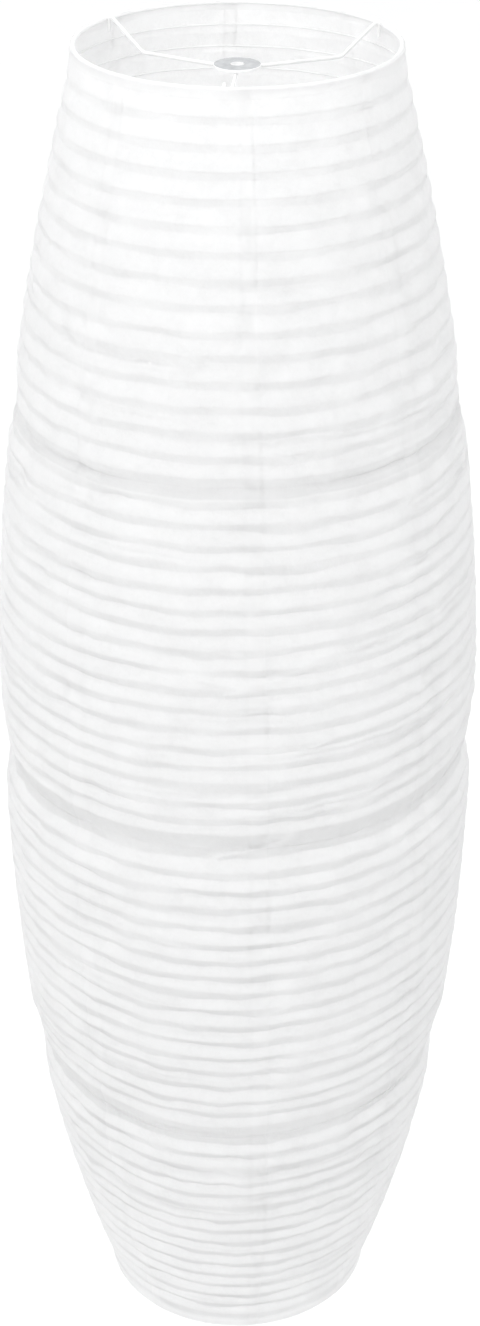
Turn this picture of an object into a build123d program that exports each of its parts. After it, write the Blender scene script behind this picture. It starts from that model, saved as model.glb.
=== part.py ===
"""Tall accordion paper lantern shade, hung by a metal washer on a lamp's threaded nipple.

Sizes are in mm. The origin is the middle of the washer's hole, +Z is up, and the shade hangs below.
Eight overlapping paper gores run over horizontal wire hoops between a top ring and a bottom ring.
"""

import os
from math import atan2, exp, radians, sin, tan

from build123d import *

os.makedirs("parts", exist_ok=True)

# overall sizes
HEIGHT = 1160.0
MAX_DIAMETER = 400.0
TOP_DIAMETER = 246.0
BOTTOM_DIAMETER = 235.0
WIDEST_SHARE = 0.457
TOP_BULGE = 1.74
BOTTOM_BULGE = 2.66

# washer and arms
NIPPLE_HOLE = 10.5
HUB_DIAMETER = 36.0
HUB_THICKNESS = 2.5
HUB_DROP = 16.7
ARM_WIRE = 2.8
ARM_COUNT = 3
ARM_TURN = 25.5
ARM_LAP = 6.0
ARM_SAG = 1.2
KINK_IN = 31.98
KINK_BEND = 8.0
TIP_BEND = 2.5
TIP_TAIL = 9.0

# wires
RING_WIRE = 3.2
HOOP_WIRE = 1.2

# paper
PAPER = 0.25
GORES = 8
FIRST_SEAM = -85.0
SEAM_LAP = 4.5
HEM = 5.0
PLEAT_DEPTH = 2.6
PLEAT_TURN = 0.3
TIER_DEPTH = 6.5
TIER_TURN = 0.72
TIER_DENT = 4.0
TIER_DENT_SPAN = 18.0

# share of the height and number of pleats in each tier, from the top
TIERS = [(0.240, 15), (0.257, 18), (0.261, 18), (0.242, 17)]

# clearances
GLUE_GAP = 0.08
WELD_GAP = 0.02
HOOP_GAP = 0.10

TOP_Z = HUB_DROP
BOTTOM_Z = TOP_Z - HEIGHT
TOP_R = TOP_DIAMETER / 2
BOTTOM_R = BOTTOM_DIAMETER / 2
MAX_R = MAX_DIAMETER / 2


def tier_ends():
    """Depth of each tier's lower end under the top ring."""
    ends = []
    depth = 0.0
    for share, _ in TIERS:
        depth += share * HEIGHT
        ends.append(depth)
    return ends


def pleat_lines():
    """Depth of every fold line under the top ring, with the numbers of the lines that end a tier."""
    lines = [0.0]
    ends = []
    for share, pleats in TIERS:
        start = lines[-1]
        for n in range(1, pleats + 1):
            lines.append(start + share * HEIGHT * n / pleats)
        ends.append(len(lines) - 1)
    return lines, ends[:-1]


def outline(depth):
    """Radius of the paper's crests at a depth under the top ring."""
    widest = WIDEST_SHARE * HEIGHT
    if depth < widest:
        reach = (widest - depth) / widest
        radius = MAX_R - (MAX_R - TOP_R) * reach**TOP_BULGE
    else:
        reach = min(1.0, (depth - widest) / (HEIGHT - widest))
        radius = MAX_R - (MAX_R - BOTTOM_R) * reach**BOTTOM_BULGE
    for end in tier_ends()[:-1]:
        away = (depth - end - TIER_DENT_SPAN / 3) / TIER_DENT_SPAN
        radius -= TIER_DENT * exp(-(away**2))
    return radius


def crest_radius(number, lines):
    """Outer radius of the inner paper layer at a fold line."""
    ring = RING_WIRE / 2 + GLUE_GAP + PAPER
    if number == 0:
        return TOP_R + ring
    if number == len(lines) - 1:
        return BOTTOM_R + ring
    return outline(lines[number])


def paper_path(lines, deep, offset):
    """Outer points of a gore from the top hem to the bottom hem, as (radius, z)."""
    last = len(lines) - 1
    points = [(crest_radius(0, lines) + offset, TOP_Z + RING_WIRE / 2)]
    points.append((crest_radius(0, lines) + offset, TOP_Z - HEM))
    for n in range(1, last):
        crest = crest_radius(n, lines)
        step = lines[n + 1] - lines[n]
        if n + 1 == last:
            step -= HEM
        turn = TIER_TURN if n in deep else PLEAT_TURN
        fold = TIER_DEPTH if n in deep else PLEAT_DEPTH
        here = outline(lines[n] + turn * step)
        points.append((crest + offset, TOP_Z - lines[n]))
        points.append((here - fold + offset, TOP_Z - lines[n] - turn * step))
    points.append((crest_radius(last, lines) + offset, BOTTOM_Z + HEM))
    points.append((crest_radius(last, lines) + offset, BOTTOM_Z - RING_WIRE / 2))
    return points


def gore(lines, deep, offset, start):
    """One strip of pleated paper, from its first edge on around the lantern."""
    outer = paper_path(lines, deep, offset)
    inner = [(r - PAPER, z) for r, z in reversed(outer)]
    with BuildPart() as strip:
        with BuildSketch(Plane.XZ):
            with BuildLine():
                Polyline(*outer, *inner, close=True)
            make_face()
        revolve(axis=Axis.Z, revolution_arc=360 / GORES + SEAM_LAP)
    return Rot(0, 0, start) * strip.part


def hoop(number, path):
    """One wire hoop, seated in the fold behind a crest, clear of both flanks."""
    crest, above, below = path[2 * number], path[2 * number - 1], path[2 * number + 1]
    up = Vector(above[0] - crest[0], above[1] - crest[1]).normalized()
    down = Vector(below[0] - crest[0], below[1] - crest[1]).normalized()
    half = radians(up.get_angle(down)) / 2
    away = (up + down).normalized() * ((HOOP_WIRE / 2 + HOOP_GAP) / sin(half))
    ring = Torus(crest[0] - PAPER + away.X, HOOP_WIRE / 2)
    return Pos(0, 0, crest[1] + away.Y) * ring


def fitter_hub():
    """The washer that clamps on the nipple."""
    with BuildPart() as hub:
        Cylinder(HUB_DIAMETER / 2, HUB_THICKNESS)
        rims = hub.edges().filter_by(GeomType.CIRCLE)
        chamfer(rims, HUB_THICKNESS / 8)
        Hole(NIPPLE_HOLE / 2)
    return hub.part


def fitter_arm(turn):
    """A bent wire arm, from under the washer out and up to the inside of the top ring."""
    under = -HUB_THICKNESS / 2 - ARM_WIRE / 2 - WELD_GAP
    start = HUB_DIAMETER / 2 - ARM_LAP
    tip = TOP_R - RING_WIRE / 2 - ARM_WIRE / 2 - WELD_GAP
    kink = tip - KINK_IN
    low = under - ARM_SAG
    rise = atan2(TOP_Z - low, KINK_IN)
    peak = TOP_Z + TIP_BEND * tan((radians(90) + rise) / 2)
    points = [(start, under), (HUB_DIAMETER / 2, under), (kink, low)]
    points += [(tip, peak), (tip, TOP_Z - TIP_TAIL)]
    with BuildPart() as arm:
        with BuildLine(Plane.XZ) as path:
            FilletPolyline(*points, radius=[KINK_BEND, KINK_BEND, TIP_BEND])
        with BuildSketch(Plane(path.line @ 0, z_dir=path.line % 0)):
            Circle(ARM_WIRE / 2)
        sweep()
    return Rot(0, 0, turn) * arm.part


def wire_ring(radius, z):
    """A closed end ring of the thicker wire."""
    return Pos(0, 0, z) * Torus(radius, RING_WIRE / 2)


def save(shape, name):
    """Write one node."""
    shape.label = name
    export_step(shape, f"parts/{name}.step")


def main():
    lines, deep = pleat_lines()
    last = len(lines) - 1
    path = paper_path(lines, deep, 0)

    save(wire_ring(TOP_R, TOP_Z), "top_ring")
    save(wire_ring(BOTTOM_R, BOTTOM_Z), "bottom_ring")
    save(fitter_hub(), "fitter_hub")
    for n in range(ARM_COUNT):
        save(fitter_arm(ARM_TURN + n * 360 / ARM_COUNT), f"fitter_arm_{n + 1}")

    # odd hoops each get a node, and the even ones between them are four groups, one for each tier
    ends = [0, *deep, last]
    for n in range(1, last, 2):
        save(hoop(n, path), f"hoop_{n:02d}")
    for tier in range(len(TIERS)):
        numbers = [n for n in range(2, last, 2) if ends[tier] < n <= ends[tier + 1]]
        group = Compound(children=[hoop(n, path) for n in numbers])
        save(group, f"between_hoops_{tier + 1}")

    # gores lie alternately under and over their neighbours
    for n in range(GORES):
        layer = (n % 2) * (PAPER + GLUE_GAP)
        start = FIRST_SEAM + n * 360 / GORES - SEAM_LAP / 2
        save(gore(lines, deep, layer, start), f"paper_gore_{n + 1}")


main()
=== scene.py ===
import math

import bpy
import numpy as np
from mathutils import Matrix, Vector


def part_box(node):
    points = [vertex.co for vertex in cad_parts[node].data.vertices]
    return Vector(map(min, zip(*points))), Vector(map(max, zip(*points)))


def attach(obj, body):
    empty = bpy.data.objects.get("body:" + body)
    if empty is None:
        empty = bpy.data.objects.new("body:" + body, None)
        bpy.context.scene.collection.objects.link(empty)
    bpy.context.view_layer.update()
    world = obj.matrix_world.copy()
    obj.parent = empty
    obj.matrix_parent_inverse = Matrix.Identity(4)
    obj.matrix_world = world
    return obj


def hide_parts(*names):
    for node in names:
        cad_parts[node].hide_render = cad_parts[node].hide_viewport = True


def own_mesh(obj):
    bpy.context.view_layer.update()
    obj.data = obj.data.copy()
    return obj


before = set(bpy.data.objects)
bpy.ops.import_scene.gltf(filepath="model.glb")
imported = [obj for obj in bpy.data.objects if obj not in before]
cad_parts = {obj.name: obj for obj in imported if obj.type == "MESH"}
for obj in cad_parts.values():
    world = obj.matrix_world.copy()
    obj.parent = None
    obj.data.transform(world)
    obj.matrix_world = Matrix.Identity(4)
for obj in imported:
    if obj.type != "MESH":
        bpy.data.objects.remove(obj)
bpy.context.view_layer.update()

# ---------------------------------------------------------------- sizes, in metres
TIERS = [(0.240, 15), (0.257, 18), (0.261, 18), (0.242, 17)]
GORES = 8
GORE_ANGLE = 360 / GORES
# lap, first seam and the seams' twist from top to bottom, in degrees
SEAM_LAP = 4.5
FIRST_SEAM = -87.4
SEAM_TWIST = 4.4
# radius at which a seam's ragged edge is measured
SEAM_RADIUS = 0.18
PAPER = 0.00025
LAYER_GAP = 0.00005
HOOP_WIRE = 0.0012
HOOP_GAP = 0.0001
# depth of an ordinary fold and its share of the pleat, at these shares of the height
FOLD_SHARES = [0.1, 0.45, 0.9]
PLEAT_DEPTHS = [0.0016, 0.0026, 0.0026]
PLEAT_TURNS = [0.34, 0.46, 0.47]
CREST_ROUND = 1.35
END_FOLD = 0.3
# each tier's last fold: its depth, its share of the pleat, and how far the next two crests stand back
TIER_DEPTHS = [0.0024, 0.0004, 0.0008]
TIER_TURNS = [0.50, 0.96, 0.92]
TIER_BACKS = [(0.0008, 0.0), (0.0060, 0.0026), (0.0044, 0.0018)]
COLUMNS = 50
EDGE_STEPS = 4
# rows of a pleat: on the way in to the fold (0) or out again (1), and the share of that flank
ROWS = [(side, part) for side in (0, 1) for part in (0.0, 0.08, 0.22, 0.40, 0.60, 0.80)]
HEM = 0.006
HEM_GAP = 0.0001
# degrees that a hem is wrapped over its ring, and how far the gores' ends stand past the rings' middles
HEM_WRAP = 140
EDGE_UP = 0.0011
# how strongly painted shade darkens the creased paper, and how strongly on each tier's last fold
PAINTED_FOLD_SHADE = 0.155
TIER_PAINTED_SHADE = [0.8, 1.15, 0.85]
# share of the pleat where its fold is taken to lie when the painted shade is worked out
FOLD_MIDDLE = 0.46
# height at which a slack crease is clear of most painted shade and reads as a painted highlight, and how much
# of the painted shade a lap hides
BRIGHT_CREASE = 0.0016
LAP_HIDES = 0.35
# brightness of the studio near the horizon and overhead
SKY_LOW = 0.935
SKY_HIGH = 1.31
FLOOR_Z = -1.9
FLOOR_HALF = 30

rng = np.random.default_rng(11)


def box_of(name):
    low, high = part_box(name)
    return np.array(low), np.array(high)


top_low, top_high = box_of("top_ring")
bottom_low, bottom_high = box_of("bottom_ring")
RING_WIRE = top_high[2] - top_low[2]
TOP_Z = (top_high[2] + top_low[2]) / 2
BOTTOM_Z = (bottom_high[2] + bottom_low[2]) / 2
HEIGHT = TOP_Z - BOTTOM_Z
TOP_R = (top_high[0] - top_low[0] - RING_WIRE) / 2
BOTTOM_R = (bottom_high[0] - bottom_low[0] - RING_WIRE) / 2

# crest lines: depth of each under the top ring, and the radius of the paper there, from the CAD hoops
lines = [0.0]
deep = {}
for tier, (share, pleats) in enumerate(TIERS):
    start = lines[-1]
    lines += [start + share * HEIGHT * n / pleats for n in range(1, pleats + 1)]
    if tier < len(TIERS) - 1:
        deep[len(lines) - 1] = tier
lines = np.array(lines)
LAST = len(lines) - 1
hoop_depth, hoop_radius = [], []
for n in range(1, LAST, 2):
    low, high = box_of(f"hoop_{n:02d}")
    hoop_depth.append(TOP_Z - (low[2] + high[2]) / 2)
    hoop_radius.append((high[0] - low[0]) / 2)
HEM_OUT = RING_WIRE / 2 + HEM_GAP + PAPER
RING_OUT = HEM_OUT + HEM_GAP + PAPER
crest_radius = [r + PAPER + HOOP_GAP for r in hoop_radius]
known_depth = np.array([0.0] + hoop_depth + [HEIGHT])
known_radius = np.array([TOP_R + RING_OUT] + crest_radius + [BOTTOM_R + RING_OUT])


def outline(depth):
    """Radius of the paper's crests at a depth under the top ring."""
    return np.interp(depth, known_depth, known_radius)


# ---------------------------------------------------------------- how the handmade paper strays
def waves(count, seed, low, high):
    """Smooth periodic random function of (angle in radians, depth in metres), about -1 to 1."""
    r = np.random.default_rng(seed)
    terms = []
    for _ in range(count):
        around = int(r.integers(low, high + 1))
        terms.append((around, r.uniform(-9, 9), r.uniform(0, 2 * math.pi), r.uniform(0.5, 1.0)))
    total = sum(size**2 for *_, size in terms) ** 0.5

    def f(angle, depth):
        out = 0.0
        for around, along, phase, size in terms:
            out = out + size * np.sin(around * angle + along * depth + phase)
        return out / total

    return f


slow_wobble = waves(6, 3, 2, 5)
quick_wobble = waves(9, 5, 6, 17)
depth_change = waves(10, 7, 3, 13)
turn_change = waves(8, 13, 3, 11)
fold_change = waves(12, 17, 2, 15)
bulge = waves(8, 9, 2, 7)
crumple = [waves(14, 21 + k, 9 + 9 * k, 24 + 22 * k) for k in range(3)]
strata = waves(22, 29, 2, 19)
line_shift = rng.normal(0, 1, LAST + 1)
line_phase = rng.uniform(0, 2 * math.pi, (LAST + 1, 3))
line_size = rng.uniform(0.4, 1.0, (LAST + 1, 3))
# each pleat has a few second, shallower folds, which run part of the way round
SECOND_FOLDS = 3
EXTRA_DEEPEST = 0.0021
extra_at = rng.uniform(0, 2 * math.pi, (LAST + 1, SECOND_FOLDS))
extra_wide = rng.uniform(0.15, 0.60, (LAST + 1, SECOND_FOLDS))
extra_deep = rng.uniform(0.0003, EXTRA_DEEPEST, (LAST + 1, SECOND_FOLDS))
extra_place = rng.uniform(0.52, 0.86, (LAST + 1, SECOND_FOLDS))
extra_lean = rng.uniform(-0.40, 0.40, (LAST + 1, SECOND_FOLDS))
FRONT = math.radians(-90)
# sizes of the crest lines' stray: over wide and narrow stretches, as a whole, and in each line's own waves
SLOW_STRAY = 0.0011
QUICK_STRAY = 0.00035
OWN_STRAY = 0.00085
WAVE_STRAY = 0.00045
# sizes of the paper's bulge and of its wrinkles, with how quickly each kind of wrinkle changes downwards
BULGE = 0.0007
WRINKLES = [(0.00058, 9), (0.00044, 22), (0.00024, 48)]
# how far the crest lines rise to the right of the front: size, and middle and width as shares of the height
TILTS = [(0.0048, 0.46, 0.13), (-0.0026, 0.83, 0.14), (0.0008, 0.20, 0.10)]


def bell(x, middle, width):
    """1 in the middle, falling off smoothly to both sides."""
    return np.exp(-(((x - middle) / width) ** 2))


def wobble(angle, depth, number):
    """How far a crest line strays up or down."""
    share = depth / HEIGHT
    loose = np.clip(np.minimum(share, 1 - share) * 6, 0, 1)
    side = np.sin(angle - FRONT)
    tilt = sum(size * bell(share, middle, width) for size, middle, width in TILTS)
    out = tilt * side + SLOW_STRAY * slow_wobble(angle, depth) + QUICK_STRAY * quick_wobble(angle, depth)
    own = OWN_STRAY * line_shift[number] * (0.4 + 0.6 * np.interp(share, [0.1, 0.4], [0, 1]))
    for k in range(line_size.shape[1]):
        out = out + WAVE_STRAY * line_size[number, k] * np.sin((k * 2 + 3) * angle + line_phase[number, k])
    return (out + own) * loose


CREASE_RADIUS = 0.19
CREASES = [
    # degrees and share of the height where each slack crease starts and ends, its height and its width
    (-99.5, 0.522, -77.0, 0.498, 0.0026, 0.0028),
    (-97.0, 0.514, -82.0, 0.504, -0.0012, 0.0024),
    (-103.0, 0.372, -86.0, 0.384, 0.0018, 0.0034),
    (-96.0, 0.392, -78.0, 0.372, 0.0017, 0.0030),
    (-86.0, 0.384, -66.0, 0.360, 0.0015, 0.0034),
    (-92.0, 0.404, -76.0, 0.396, 0.0014, 0.0028),
    (-84.0, 0.372, -70.0, 0.378, -0.0013, 0.0028),
    (-100.0, 0.352, -88.0, 0.360, 0.0012, 0.0030),
    (-78.0, 0.436, -62.0, 0.420, 0.0012, 0.0030),
    (-118.0, 0.440, -102.0, 0.430, 0.0012, 0.0034),
    (-52.0, 0.402, -40.0, 0.418, 0.0011, 0.0034),
    (-94.0, 0.622, -80.0, 0.630, 0.0012, 0.0030),
    (-88.0, 0.655, -76.0, 0.642, 0.0011, 0.0030),
    (-112.0, 0.585, -99.0, 0.594, 0.0010, 0.0030),
    (40.0, 0.560, 52.0, 0.540, 0.0013, 0.0034),
    (128.0, 0.395, 144.0, 0.420, 0.0014, 0.0034),
    (100.0, 0.450, 112.0, 0.436, 0.0012, 0.0034),
    (170.0, 0.640, 184.0, 0.620, 0.0012, 0.0034),
    (8.0, 0.380, 22.0, 0.396, 0.0012, 0.0034),
]


def creases(angle, depth):
    """Height of the few diagonal slack creases."""
    out = np.zeros_like(angle)
    for a0, s0, a1, s1, height, width in CREASES:
        around = (np.degrees(angle) - a0 + 180) % 360 - 180
        x = np.radians(around) * CREASE_RADIUS
        y = depth - s0 * HEIGHT
        dx = math.radians((a1 - a0 + 180) % 360 - 180) * CREASE_RADIUS
        dy = (s1 - s0) * HEIGHT
        long = math.hypot(dx, dy)
        along = (x * dx + y * dy) / long
        across = (x * dy - y * dx) / long
        ends = np.clip(np.minimum(along, long - along) / (0.25 * long) + 0.2, 0, 1)
        out = out + height * ends * np.exp(-((across / width) ** 2))
    return out


def turned(angle):
    """The angle from -pi to pi."""
    return (angle + math.pi) % (2 * math.pi) - math.pi


crest_back = np.zeros(LAST + 3)
for number, tier in deep.items():
    crest_back[number + 1] += TIER_BACKS[tier][0]
    crest_back[number + 2] += TIER_BACKS[tier][1]


def paper_point(angle, number, side, part, offset):
    """Radius and z of the paper's outer face on one flank of the pleat below a crest line."""
    step = lines[number + 1] - lines[number]
    share = lines[number] / HEIGHT
    tier = deep.get(number)
    if tier is None:
        turn = np.interp(share, FOLD_SHARES, PLEAT_TURNS)
        turn = turn * (1 + 0.17 * turn_change(angle, lines[number] * 25))
        fold = np.interp(share, FOLD_SHARES, PLEAT_DEPTHS)
        uneven = 0.24 * depth_change(angle, lines[number] * 1.4)
        uneven = uneven + 0.30 * fold_change(angle, lines[number] * 40)
        fold = fold * (1 + np.clip(uneven, -0.7, 0.7))
    else:
        turn = TIER_TURNS[tier] * (1 + 0.05 * turn_change(angle, lines[number]))
        fold = TIER_DEPTHS[tier] * (1 + 0.18 * depth_change(angle, lines[number] * 1.4))
    if number in (0, LAST - 1):
        fold = fold * END_FOLD
    if side == 0:
        u = part * turn
        shape = part**CREST_ROUND
    else:
        u = turn + part * (1 - turn)
        shape = (1 - part) ** CREST_ROUND
    depth = lines[number] + u * step
    loose = np.clip(min(share, 1 - share) * 7, 0, 1)
    back = crest_back[number] * (1 - u) + crest_back[number + 1] * u
    radius = outline(depth) - back - fold * shape
    slack = np.sin(math.pi * u)
    for k in range(SECOND_FOLDS):
        away = turned(angle - extra_at[number, k])
        near = bell(away, 0.0, extra_wide[number, k])
        place = extra_place[number, k] + extra_lean[number, k] * away
        radius = radius - loose * near * extra_deep[number, k] * bell(u, place, 0.10)
    rough = sum(size * wrinkle(angle, depth * rate) for wrinkle, (size, rate) in zip(crumple, WRINKLES))
    rough = rough + np.interp(share, [0.05, 0.4], [0.00013, 0.00026]) * strata(angle, depth * 95)
    radius = radius + loose * (BULGE * bulge(angle, depth) + (0.25 + slack) * rough)
    radius = radius + creases(angle, depth) * (0.6 + 0.6 * slack)
    up = wobble(angle, lines[number], number)
    down = wobble(angle, lines[number + 1], number + 1)
    z = TOP_Z - depth + up * (1 - u) + down * u
    return radius + offset, z


def seam(index, depth):
    """Angle of a seam's middle at a depth."""
    return math.radians(FIRST_SEAM + GORE_ANGLE * index) + math.radians(SEAM_TWIST) * depth / HEIGHT


def fold_shade_painted(number, side, part):
    """How much painted shade darkens the outer face, where the paper is creased over a hoop and in under it.
    """
    share = lines[number] / HEIGHT
    strength = np.interp(share, [0.05, 0.45, 0.80], [0.48, 0.70, 1.10])
    if number == 0:
        return 0.0
    if number in deep and side == 0:
        return TIER_PAINTED_SHADE[deep[number]] * np.interp(part, [0.0, 0.1, 1.0], [0.3, 1.0, 1.0])
    if number in deep:
        return 1.1
    if side == 0 and deep.get(number - 1, 0) > 0:
        return 1.1 * (1 - 0.25 * part)
    if side == 0:
        return strength * np.interp(part, [0.0, 0.12, 0.45, 1.0], [0.15, 0.75, 1.0, 0.9])
    return strength * np.interp(part, [0.0, 0.12, 0.35, 1.0], [0.7, 0.15, 0.0, 0.10])


def row_shade_painted(angle, number, side, part):
    """The painted shade along one row of points, uneven round the lantern, with a faint painted line of shade
    on each second fold.
    """
    share = lines[number] / HEIGHT
    u = FOLD_MIDDLE * part if side == 0 else FOLD_MIDDLE + (1 - FOLD_MIDDLE) * part
    unevenness = 0.12 if number in deep or number - 1 in deep else 0.42
    uneven = np.clip(1 + unevenness * depth_change(angle, lines[number] * 60), 0.3, 1.6)
    tone = fold_shade_painted(number, side, part) * uneven
    strength = np.interp(share, [0.05, 0.35, 0.80], [0.25, 0.75, 0.95])
    # painted shade, darker towards the top and the bottom of the lantern
    tone = tone + np.interp(share, [0.0, 0.3, 0.65, 1.0], [0.20, 0.0, 0.04, 0.26])
    # painted shade along the second, shallower folds
    for k in range(SECOND_FOLDS):
        away = turned(angle - extra_at[number, k])
        near = bell(away, 0.0, extra_wide[number, k])
        place = extra_place[number, k] + extra_lean[number, k] * away
        tone = tone + strength * near * extra_deep[number, k] / EXTRA_DEEPEST * bell(u, place, 0.08)
    return tone


def gore_grid(index):
    """Rows of points of one gore's outer and inner faces, with each one's share in a lap and its painted
    shade.
    """
    offset = (index % 2) * (PAPER + LAYER_GAP)
    # the top edge stands in for the first pleat's first row
    spec = [("top", 0, 0, 0.0)]
    spec += [("pleat", n, side, part) for n in range(LAST) for side, part in ROWS][1:]
    spec += [("bottom", LAST, 0, 0.0)]
    edge = np.random.default_rng(40 + index)
    wave = [(edge.uniform(20, 90), edge.uniform(0, 6.28), edge.uniform(0.0002, 0.0006)) for _ in range(4)]
    outer, inner, laps, shade_rows_painted = [], [], [], []
    lap = math.radians(SEAM_LAP / 2)
    middle = np.linspace(0, 1, COLUMNS - 2 * EDGE_STEPS)
    feather = np.zeros(COLUMNS)
    feather[[0, 1, -2, -1]] = (0.8 * PAPER, 0.3 * PAPER, 0.3 * PAPER, 0.8 * PAPER)
    for kind, n, side, part in spec:
        flank = lines[min(n + 1, LAST)] - lines[n]
        depth = lines[n] + flank * (part * 0.45 if side == 0 else 0.45 + part * 0.55)
        ragged = sum(s * math.sin(f * depth + p) for f, p, s in wave) / SEAM_RADIUS
        first, last = seam(index, depth), seam(index + 1, depth)
        a0, a1 = first - lap - ragged, last + lap + ragged
        b0, b1 = first + lap * 1.1, last - lap * 1.1
        left_edge = np.linspace(a0, b0, EDGE_STEPS + 1)[:-1]
        right_edge = np.linspace(b1, a1, EDGE_STEPS + 1)[1:]
        angle = np.concatenate([left_edge, b0 + (b1 - b0) * middle, right_edge])
        if kind == "pleat":
            r, z = paper_point(angle, n, side, part, offset)
        else:
            ring_r, edge_z = (TOP_R, TOP_Z + EDGE_UP) if kind == "top" else (BOTTOM_R, BOTTOM_Z - EDGE_UP)
            r = np.full(COLUMNS, ring_r + RING_OUT + offset)
            z = np.full(COLUMNS, edge_z)
        ri = r - PAPER
        r = r - feather
        outer.append(np.stack([r * np.cos(angle), r * np.sin(angle), z], axis=1))
        inner.append(np.stack([ri * np.cos(angle), ri * np.sin(angle), z], axis=1))
        # share of each point in a lap, which the paper material paints brighter as painted brightness
        in_lap = np.minimum(np.abs(angle - first), np.abs(angle - last)) / lap
        over_hem = kind != "pleat" or (n == 0 and side == 0) or (n == LAST - 1 and side == 1 and part > 0.3)
        laps.append(np.full(COLUMNS, 1.0) if over_hem else np.clip((1.12 - in_lap) / 0.18, 0, 1))
        tone = row_shade_painted(angle, n, side, part) if kind == "pleat" else np.zeros(COLUMNS)
        crease = creases(angle, np.full(COLUMNS, depth))
        # a slack crease's ridge loses most of its painted shade, leaving a painted highlight along it
        tone = tone * (1 - 0.9 * np.clip(crease / BRIGHT_CREASE, 0, 1))
        shade_rows_painted.append(tone * (1 - LAP_HIDES * laps[-1]))
    return np.array(outer), np.array(inner), np.array(laps), np.array(shade_rows_painted)


def new_object(name, verts, faces, mat, smooth=True):
    """A mesh of quads, linked to the scene."""
    verts = np.asarray(verts, np.float32)
    faces = np.asarray(faces, np.int32)
    mesh = bpy.data.meshes.new(name)
    mesh.vertices.add(len(verts))
    mesh.vertices.foreach_set("co", verts.ravel())
    mesh.loops.add(faces.size)
    mesh.loops.foreach_set("vertex_index", faces.ravel())
    mesh.polygons.add(len(faces))
    mesh.polygons.foreach_set("loop_start", np.arange(0, faces.size, 4, dtype=np.int32))
    mesh.update(calc_edges=True)
    mesh.validate()
    if smooth:
        mesh.shade_smooth()
        mesh.set_sharp_from_angle(angle=math.radians(60))
    mesh.materials.append(mat)
    obj = bpy.data.objects.new(name, mesh)
    bpy.context.scene.collection.objects.link(obj)
    return obj


def sheet_faces(rows, columns):
    """Faces of a closed thin sheet: outer face, inner face and the four edges."""
    side = rows * columns
    faces = []
    for r in range(rows - 1):
        for c in range(columns - 1):
            a = r * columns + c
            faces.append((a, a + columns, a + columns + 1, a + 1))
            faces.append((a + side, a + side + 1, a + side + columns + 1, a + side + columns))
    for c in range(columns - 1):
        a = c
        faces.append((a, a + 1, a + 1 + side, a + side))
        b = (rows - 1) * columns + c
        faces.append((b, b + side, b + side + 1, b + 1))
    for r in range(rows - 1):
        a = r * columns
        faces.append((a, a + side, a + side + columns, a + columns))
        b = a + columns - 1
        faces.append((b, b + columns, b + side + columns, b + side))
    return faces


# ---------------------------------------------------------------- materials
class Nodes:
    """A material's node tree, built in a few words."""

    def __init__(self, name):
        self.mat = bpy.data.materials.new(name)
        self.mat.use_nodes = True
        self.tree = self.mat.node_tree
        self.tree.nodes.clear()
        self.out = self.tree.nodes.new("ShaderNodeOutputMaterial")

    def add(self, kind, inputs=None, **props):
        """A new node, with sockets linked or set."""
        node = self.tree.nodes.new(kind)
        for key, value in props.items():
            setattr(node, key, value)
        for key, value in (inputs or {}).items():
            if isinstance(value, bpy.types.NodeSocket):
                self.tree.links.new(value, node.inputs[key])
            else:
                node.inputs[key].default_value = value
        return node

    def math(self, op, a, b=0.0, clamp=False):
        return self.add("ShaderNodeMath", {0: a, 1: b}, operation=op, use_clamp=clamp).outputs[0]

    def ramp(self, value, stops):
        node = self.add("ShaderNodeValToRGB", {"Fac": value})
        ramp = node.color_ramp
        while len(ramp.elements) < len(stops):
            ramp.elements.new(0.5)
        for element, (at, colour) in zip(ramp.elements, stops):
            element.position = at
            element.color = (*colour, 1.0)
        return node.outputs["Color"]

    def mix(self, share, first, second):
        return self.add(
            "ShaderNodeMix", {"Factor": share, "A": first, "B": second}, data_type="RGBA"
        ).outputs["Result"]

    def grey_ramp(self, value, stops):
        return self.ramp(value, [(at, (v, v, v)) for at, v in stops])


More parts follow.
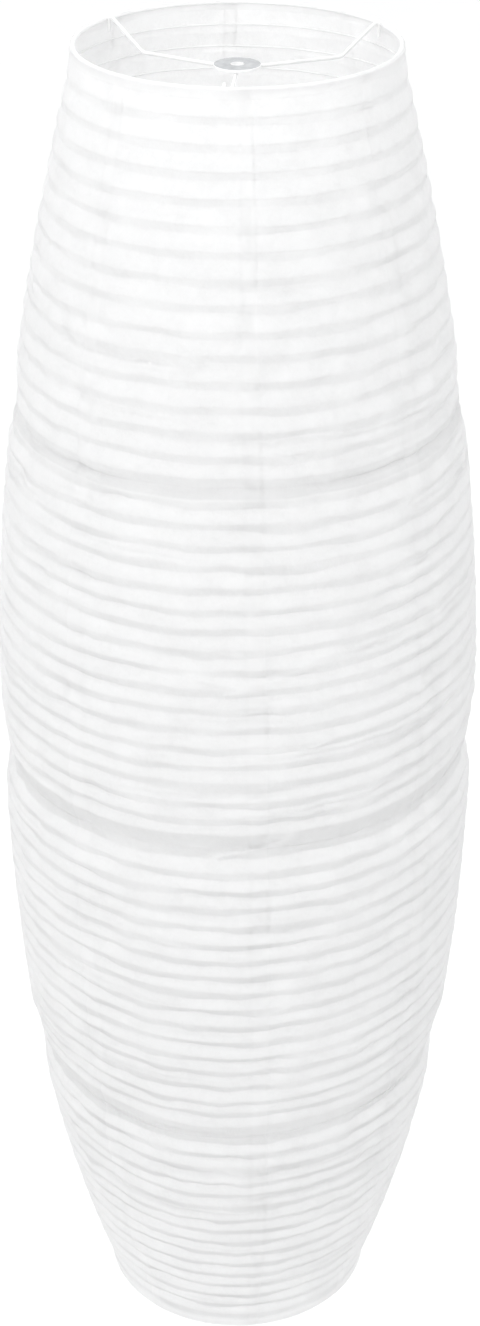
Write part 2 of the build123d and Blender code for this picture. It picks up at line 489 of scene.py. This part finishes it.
def paper_material():
    """White fibrous paper that light passes through, with painted brightness in the laps and painted shade in
    the folds.
    """
    m = Nodes("rice_paper")
    at = m.add("ShaderNodeTexCoord").outputs["Object"]
    cloud = m.add(
        "ShaderNodeTexNoise", {"Vector": at, "Scale": 38.0, "Detail": 4.0, "Roughness": 0.55}
    ).outputs["Fac"]
    fine = m.add("ShaderNodeTexNoise", {"Vector": at, "Scale": 900.0, "Detail": 3.0}).outputs["Fac"]
    threads = None
    for scale, width, turn in ((150.0, 0.012, 0.0), (235.0, 0.011, 0.9), (330.0, 0.010, 2.1)):
        spun = m.add(
            "ShaderNodeMapping",
            {"Vector": at, "Rotation": (turn, turn * 0.7, turn * 1.3), "Scale": (1.0, 1.0, 0.35)},
        ).outputs["Vector"]
        field = m.add(
            "ShaderNodeTexNoise", {"Vector": spun, "Scale": scale, "Detail": 1.5, "Distortion": 1.4}
        ).outputs["Fac"]
        away = m.math("ABSOLUTE", m.math("SUBTRACT", field, 0.5))
        line = m.math("SUBTRACT", 1.0, m.math("DIVIDE", away, width), clamp=True)
        where = m.add("ShaderNodeTexNoise", {"Vector": spun, "Scale": scale * 0.22, "Detail": 1.0})
        here = m.math("MULTIPLY", m.math("SUBTRACT", where.outputs["Fac"], 0.45), 6.0, clamp=True)
        line = m.math("MULTIPLY", line, here)
        threads = line if threads is None else m.math("MAXIMUM", threads, line)
    wisps = m.add(
        "ShaderNodeTexNoise",
        {"Vector": at, "Scale": 210.0, "Detail": 3.0, "Roughness": 0.6, "Distortion": 0.9},
    ).outputs["Fac"]
    tone = m.math("ADD", m.math("MULTIPLY", cloud, 0.35), m.math("MULTIPLY", fine, 0.25))
    tone = m.math("ADD", tone, m.math("MULTIPLY", wisps, 0.40))
    colour = m.grey_ramp(tone, [(0.34, 0.903), (0.50, 0.934), (0.66, 0.955)])
    lap = m.add("ShaderNodeAttribute", attribute_name="lap").outputs["Fac"]
    fold = m.add("ShaderNodeAttribute", attribute_name="fold").outputs["Fac"]
    pale = m.mix(m.math("MULTIPLY", threads, 0.55), colour, (0.965, 0.965, 0.965, 1.0))
    # painted brightness in the laps and hems
    pale = m.mix(m.math("MULTIPLY", lap, 0.84), pale, (0.975, 0.975, 0.975, 1.0))
    # painted shade: darker in the folds and towards the ends, from the fold mark
    pale = m.mix(m.math("MULTIPLY", fold, PAINTED_FOLD_SHADE), pale, (0.5, 0.5, 0.5, 1.0))
    rough = m.math("ADD", 0.80, m.math("MULTIPLY", cloud, 0.16))
    height = m.math("ADD", m.math("MULTIPLY", threads, 0.6), m.math("MULTIPLY", fine, 0.35))
    height = m.math("ADD", height, m.math("MULTIPLY", wisps, 1.2))
    bump = m.add("ShaderNodeBump", {"Height": height, "Strength": 0.4, "Distance": 0.0004}).outputs["Normal"]
    body = m.add(
        "ShaderNodeBsdfPrincipled",
        {"Base Color": pale, "Roughness": rough, "Normal": bump, "IOR": 1.45, "Specular IOR Level": 0.25},
    )
    glow = m.add("ShaderNodeBsdfTranslucent", {"Color": pale, "Normal": bump})
    through = m.math("ADD", 0.57, m.math("MULTIPLY", lap, 0.15))
    mix = m.add("ShaderNodeMixShader", {0: through, 1: body.outputs[0], 2: glow.outputs[0]})
    m.tree.links.new(mix.outputs[0], m.out.inputs[0])
    return m.mat


def wire_material(name, pale, dark, rough):
    """White paint on wire, a little grainy."""
    m = Nodes(name)
    at = m.add("ShaderNodeTexCoord").outputs["Object"]
    cloud = m.add("ShaderNodeTexNoise", {"Vector": at, "Scale": 60.0, "Detail": 4.0}).outputs["Fac"]
    fine = m.add("ShaderNodeTexNoise", {"Vector": at, "Scale": 1400.0, "Detail": 2.0}).outputs["Fac"]
    spots = m.add("ShaderNodeTexVoronoi", {"Vector": at, "Scale": 420.0}).outputs["Distance"]
    tone = m.math("ADD", m.math("MULTIPLY", cloud, 0.7), m.math("MULTIPLY", fine, 0.3))
    colour = m.ramp(tone, [(0.30, dark), (0.62, pale)])
    shine = m.math("ADD", rough, m.math("MULTIPLY", cloud, 0.18))
    height = m.math("ADD", m.math("MULTIPLY", spots, 0.5), m.math("MULTIPLY", fine, 0.5))
    bump = m.add("ShaderNodeBump", {"Height": height, "Strength": 0.2, "Distance": 0.0002}).outputs["Normal"]
    body = m.add(
        "ShaderNodeBsdfPrincipled", {"Base Color": colour, "Roughness": shine, "Normal": bump, "IOR": 1.5}
    )
    m.tree.links.new(body.outputs[0], m.out.inputs[0])
    return m.mat


paper = paper_material()
frame_paint = wire_material("white_frame_paint", (0.86, 0.86, 0.855), (0.76, 0.76, 0.76), 0.34)
hoop_paint = wire_material("white_hoop_paint", (0.88, 0.88, 0.88), (0.80, 0.80, 0.80), 0.5)
ring_paint = wire_material("ring_paint", (0.90, 0.90, 0.90), (0.82, 0.82, 0.82), 0.45)


def washer_material():
    """White coated steel, grey on its flat top and bottom faces."""
    m = Nodes("washer")
    coords = m.add("ShaderNodeTexCoord")
    at = coords.outputs["Object"]
    cloud = m.add("ShaderNodeTexNoise", {"Vector": at, "Scale": 160.0, "Detail": 5.0}).outputs["Fac"]
    brushed = m.add("ShaderNodeMapping", {"Vector": at, "Scale": (1.0, 9.0, 1.0)}).outputs["Vector"]
    scratches = m.add("ShaderNodeTexNoise", {"Vector": brushed, "Scale": 700.0, "Detail": 2.0}).outputs["Fac"]
    split = m.add("ShaderNodeSeparateXYZ", {"Vector": coords.outputs["Normal"]})
    flat = m.math("ABSOLUTE", split.outputs["Z"])
    flat = m.math("MULTIPLY", m.math("SUBTRACT", flat, 0.85), 8.0, clamp=True)
    flat_face_grain = m.math("ADD", m.math("MULTIPLY", cloud, 0.6), m.math("MULTIPLY", scratches, 0.4))
    grey = m.ramp(flat_face_grain, [(0.3, (0.36, 0.37, 0.38)), (0.7, (0.54, 0.55, 0.56))])
    white = m.ramp(cloud, [(0.3, (0.84, 0.84, 0.84)), (0.7, (0.90, 0.90, 0.90))])
    colour = m.mix(flat, white, grey)
    shine = m.math("ADD", 0.50, m.math("MULTIPLY", scratches, 0.2))
    bump = m.add("ShaderNodeBump", {"Height": scratches, "Strength": 0.15, "Distance": 0.0001})
    body = m.add(
        "ShaderNodeBsdfPrincipled",
        {
            "Base Color": colour,
            "Roughness": shine,
            "Normal": bump.outputs["Normal"],
            "Specular IOR Level": 0.12,
        },
    )
    m.tree.links.new(body.outputs[0], m.out.inputs[0])
    return m.mat


washer_metal = washer_material()

for name, mat in (
    ("top_ring", ring_paint),
    ("bottom_ring", ring_paint),
    ("fitter_hub", washer_metal),
    ("fitter_arm_1", frame_paint),
    ("fitter_arm_2", frame_paint),
    ("fitter_arm_3", frame_paint),
):
    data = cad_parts[name].data
    data.materials.clear()
    data.materials.append(mat)


def squash(piece):
    """Ride on the top frame, with a mesh of its own."""
    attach(piece, "top_frame")
    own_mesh(piece)


# ---------------------------------------------------------------- paper gores
def mark(obj, name, values):
    """Store one number for each point."""
    attribute = obj.data.attributes.new(name, "FLOAT", "POINT")
    attribute.data.foreach_set("value", np.asarray(values, np.float32).ravel())


gore_faces = None
for g in range(GORES):
    outer, inner, laps, shade_rows_painted = gore_grid(g)
    if gore_faces is None:
        gore_faces = np.array(sheet_faces(len(outer), COLUMNS), np.int32)
    verts = np.concatenate([outer.reshape(-1, 3), inner.reshape(-1, 3)])
    gore = new_object(f"gore_{g + 1}", verts, gore_faces, paper)
    # the lap mark carries painted brightness
    mark(gore, "lap", np.concatenate([laps.ravel(), laps.ravel()]))
    # the fold mark carries the painted shade, on the outer face only
    mark(gore, "fold", np.concatenate([shade_rows_painted.ravel(), shade_rows_painted.ravel() * 0.0]))
    squash(gore)
    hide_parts(f"paper_gore_{g + 1}")


HEM_POINTS = 360
WRAP_ROWS = 10


def hem(name, ring_r, ring_z, side, body, seed):
    """The strip of paper wrapped round an end ring, under the gores' ends."""
    around = np.linspace(0, 2 * math.pi, HEM_POINTS, endpoint=False)
    strays = waves(12, seed, 5, 60)
    start = math.radians(HEM_WRAP) + 0.25 * strays(around, 0.0)
    section = []
    for k in range(WRAP_ROWS):
        turn = start * (1 - k / (WRAP_ROWS - 1))
        section.append((ring_r + HEM_OUT * np.cos(turn), ring_z + side * HEM_OUT * np.sin(turn)))
    flat_r = np.full(HEM_POINTS, ring_r + HEM_OUT)
    section.append((flat_r, np.full(HEM_POINTS, ring_z - side * 0.0025)))
    section.append((flat_r, ring_z - side * (HEM + 0.0004 * strays(around, 0.3))))
    count = len(section)
    grid = []
    for inward in (False, True):
        for k, (r, z) in enumerate(section):
            if inward:
                scale = (HEM_OUT - PAPER) / HEM_OUT
                z = ring_z + (z - ring_z) * scale if k < WRAP_ROWS else z
                r = ring_r + (r - ring_r) * scale if k < WRAP_ROWS else r - PAPER
            grid.append(np.stack([r * np.cos(around), r * np.sin(around), z], axis=1))
    order = list(range(count)) + [2 * count - 1 - k for k in range(count)]
    faces = []
    for i, row in enumerate(order):
        below = order[(i + 1) % len(order)]
        for c in range(HEM_POINTS):
            d = (c + 1) % HEM_POINTS
            here, there = row * HEM_POINTS, below * HEM_POINTS
            quad = (here + c, there + c, there + d, here + d)
            faces.append(quad if side > 0 else quad[::-1])
    piece = new_object(name, np.concatenate(grid), faces, paper)
    # the whole hem is marked as lap, so the paper material gives it painted brightness
    mark(piece, "lap", np.ones(len(piece.data.vertices)))
    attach(piece, body)


hem("hem_top", TOP_R, TOP_Z, 1, "top_frame", 61)
hem("hem_bottom", BOTTOM_R, BOTTOM_Z, -1, "bottom_frame", 62)


# ---------------------------------------------------------------- hoops, which follow the paper's crests
# the room factor leaves space for the paper's slope beside the crest
HOOP_POINTS = 180
HOOP_ROOM = 1.12


def tube(points, radius, sides=6):
    """Points and faces of a closed tube round a closed level line."""
    count = len(points)
    turn = np.linspace(0, 2 * math.pi, sides, endpoint=False)
    out = points[:, :2] / np.linalg.norm(points[:, :2], axis=1)[:, None]
    ring = []
    for t in turn:
        p = points.copy()
        p[:, :2] += out * radius * math.cos(t)
        p[:, 2] += radius * math.sin(t)
        ring.append(p)
    verts = np.stack(ring, axis=1).reshape(-1, 3)
    faces = []
    for i in range(count):
        j = (i + 1) % count
        for s in range(sides):
            q = (s + 1) % sides
            faces.append((i * sides + s, j * sides + s, j * sides + q, i * sides + q))
    return verts, faces


def hoop_line(n):
    """Middle line of a hoop, close behind the paper of its crest."""
    angle = np.linspace(0, 2 * math.pi, HOOP_POINTS, endpoint=False)
    radius, z = paper_point(angle, n, 0, 0.0, 0.0)
    radius = radius - PAPER - HOOP_WIRE / 2 * HOOP_ROOM - HOOP_GAP
    return np.stack([radius * np.cos(angle), radius * np.sin(angle), z], axis=1)


def hoop_piece(name, numbers, nodes):
    """One visible piece for these hoops, in place of the CAD nodes."""
    verts, faces = [], []
    for n in numbers:
        v, f = tube(hoop_line(n), HOOP_WIRE / 2)
        base = sum(len(x) for x in verts)
        verts.append(v)
        faces += [tuple(i + base for i in x) for x in f]
    piece = new_object(name, np.concatenate(verts), faces, hoop_paint)
    squash(piece)
    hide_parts(*nodes)


tier_ends = [0, *deep, LAST]
for n in range(1, LAST, 2):
    hoop_piece(f"wire_hoop_{n:02d}", [n], [f"hoop_{n:02d}"])
for tier in range(len(TIERS)):
    numbers = [n for n in range(2, LAST, 2) if tier_ends[tier] < n <= tier_ends[tier + 1]]
    hoop_piece(f"wire_hoops_between_{tier + 1}", numbers, [f"between_hoops_{tier + 1}"])

# ---------------------------------------------------------------- floor, light, camera
corners = [(x * FLOOR_HALF, y * FLOOR_HALF, FLOOR_Z) for x, y in ((-1, -1), (1, -1), (1, 1), (-1, 1))]
m = Nodes("pale_floor")
at = m.add("ShaderNodeTexCoord").outputs["Object"]
grain = m.add("ShaderNodeTexNoise", {"Vector": at, "Scale": 3.0}).outputs["Fac"]
colour = m.ramp(grain, [(0.2, (0.835, 0.835, 0.835)), (0.8, (0.85, 0.85, 0.85))])
body = m.add("ShaderNodeBsdfPrincipled", {"Base Color": colour, "Roughness": 0.9})
m.tree.links.new(body.outputs[0], m.out.inputs[0])
floor = new_object("floor", corners, [(0, 1, 2, 3)], m.mat, False)

scene = bpy.context.scene
scene.view_settings.view_transform = "Standard"
world = bpy.data.worlds.new("studio")
world.use_nodes = True
sky = world.node_tree
at = sky.nodes.new("ShaderNodeTexCoord")
split = sky.nodes.new("ShaderNodeSeparateXYZ")
sky.links.new(at.outputs["Generated"], split.inputs[0])
rise = sky.nodes.new("ShaderNodeMapRange")
rise.inputs["From Min"].default_value = 0.0
rise.inputs["From Max"].default_value = 1.0
rise.inputs["To Min"].default_value = SKY_LOW
rise.inputs["To Max"].default_value = SKY_HIGH
sky.links.new(split.outputs["Z"], rise.inputs["Value"])
back = sky.nodes["Background"]
back.inputs["Color"].default_value = (0.994, 0.997, 1.0, 1.0)
sky.links.new(rise.outputs["Result"], back.inputs["Strength"])
scene.world = world
scene.cycles.max_bounces = 24
scene.cycles.diffuse_bounces = 16
scene.cycles.transmission_bounces = 16


def lamp(name, at, target, size, power):
    """A soft rectangular lamp, turned to its target."""
    data = bpy.data.lights.new(name, "AREA")
    data.shape = "RECTANGLE"
    data.size, data.size_y = size
    data.energy = power
    obj = bpy.data.objects.new(name, data)
    scene.collection.objects.link(obj)
    obj.location = at
    obj.rotation_euler = (Vector(target) - Vector(at)).to_track_quat("-Z", "Y").to_euler()


lamp("key", (-1.2, -2.6, 2.0), (0, 0, -0.45), (1.7, 1.7), 33)
lamp("back", (0.3, 2.6, 1.1), (0, 0, -0.2), (2.0, 2.0), 15)

# the camera's place, as shares of the lantern's height in front of and above the top ring, and its angle down
CAMERA_BACK = 1.6198
CAMERA_UP = 0.4349
CAMERA_DOWN = 28.29
camera_data = bpy.data.cameras.new("camera")
camera_data.sensor_width = 36.0
camera_data.lens = 68.75
camera_data.shift_x = 0.0020
camera_data.shift_y = -0.0173
camera_data.clip_end = 100.0
camera = bpy.data.objects.new("camera", camera_data)
scene.collection.objects.link(camera)
camera.location = (0.0, -CAMERA_BACK * HEIGHT, TOP_Z + CAMERA_UP * HEIGHT)
camera.rotation_euler = (math.radians(90 - CAMERA_DOWN), 0.0, 0.0)
scene.camera = camera
